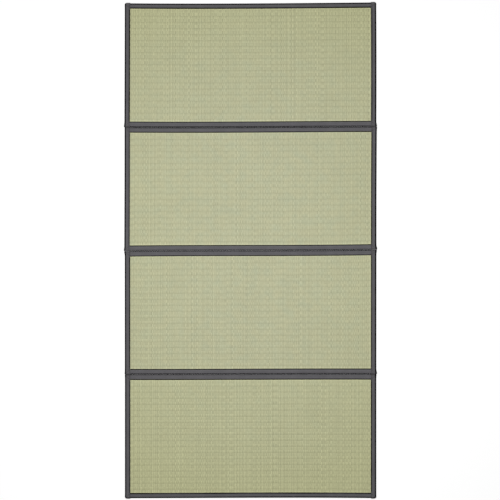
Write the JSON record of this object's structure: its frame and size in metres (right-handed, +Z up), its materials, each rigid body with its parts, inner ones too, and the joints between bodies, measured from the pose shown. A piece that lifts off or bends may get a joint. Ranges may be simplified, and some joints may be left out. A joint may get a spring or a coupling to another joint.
{
  "type": "folding tatami mat",
  "caption": "Folding tatami mat lying open and flat: woven rush panels, each bound all round with dark grey cloth tape and sewn edge to edge at the folds.",
  "frame": {"origin": "on the floor under the middle of the mat's box", "axes": "+X across the mat to the right, +Y along the mat to its upper end in the picture, +Z up from the floor"},
  "size_m": [0.9966, 1.9566, 0.016],
  "materials": {
    "rush": "woven pale green rush, soft sheen, fine ribs across the mat",
    "binding_cloth": "matte charcoal woven tape"
  },
  "bodies": {
    "root": {"rush_panel_1": "rush", "cross_tape_top_1": "binding_cloth", "cross_tape_bottom_1": "binding_cloth", "side_tape_left_1": "binding_cloth", "side_tape_right_1": "binding_cloth", "rush_panel_2": "rush", "cross_tape_top_2": "binding_cloth", "cross_tape_bottom_2": "binding_cloth", "side_tape_left_2": "binding_cloth", "side_tape_right_2": "binding_cloth", "rush_panel_3": "rush", "cross_tape_top_3": "binding_cloth", "cross_tape_bottom_3": "binding_cloth", "side_tape_left_3": "binding_cloth", "side_tape_right_3": "binding_cloth", "rush_panel_4": "rush", "cross_tape_top_4": "binding_cloth", "cross_tape_bottom_4": "binding_cloth", "side_tape_left_4": "binding_cloth", "side_tape_right_4": "binding_cloth"}
  },
  "joints": []
}
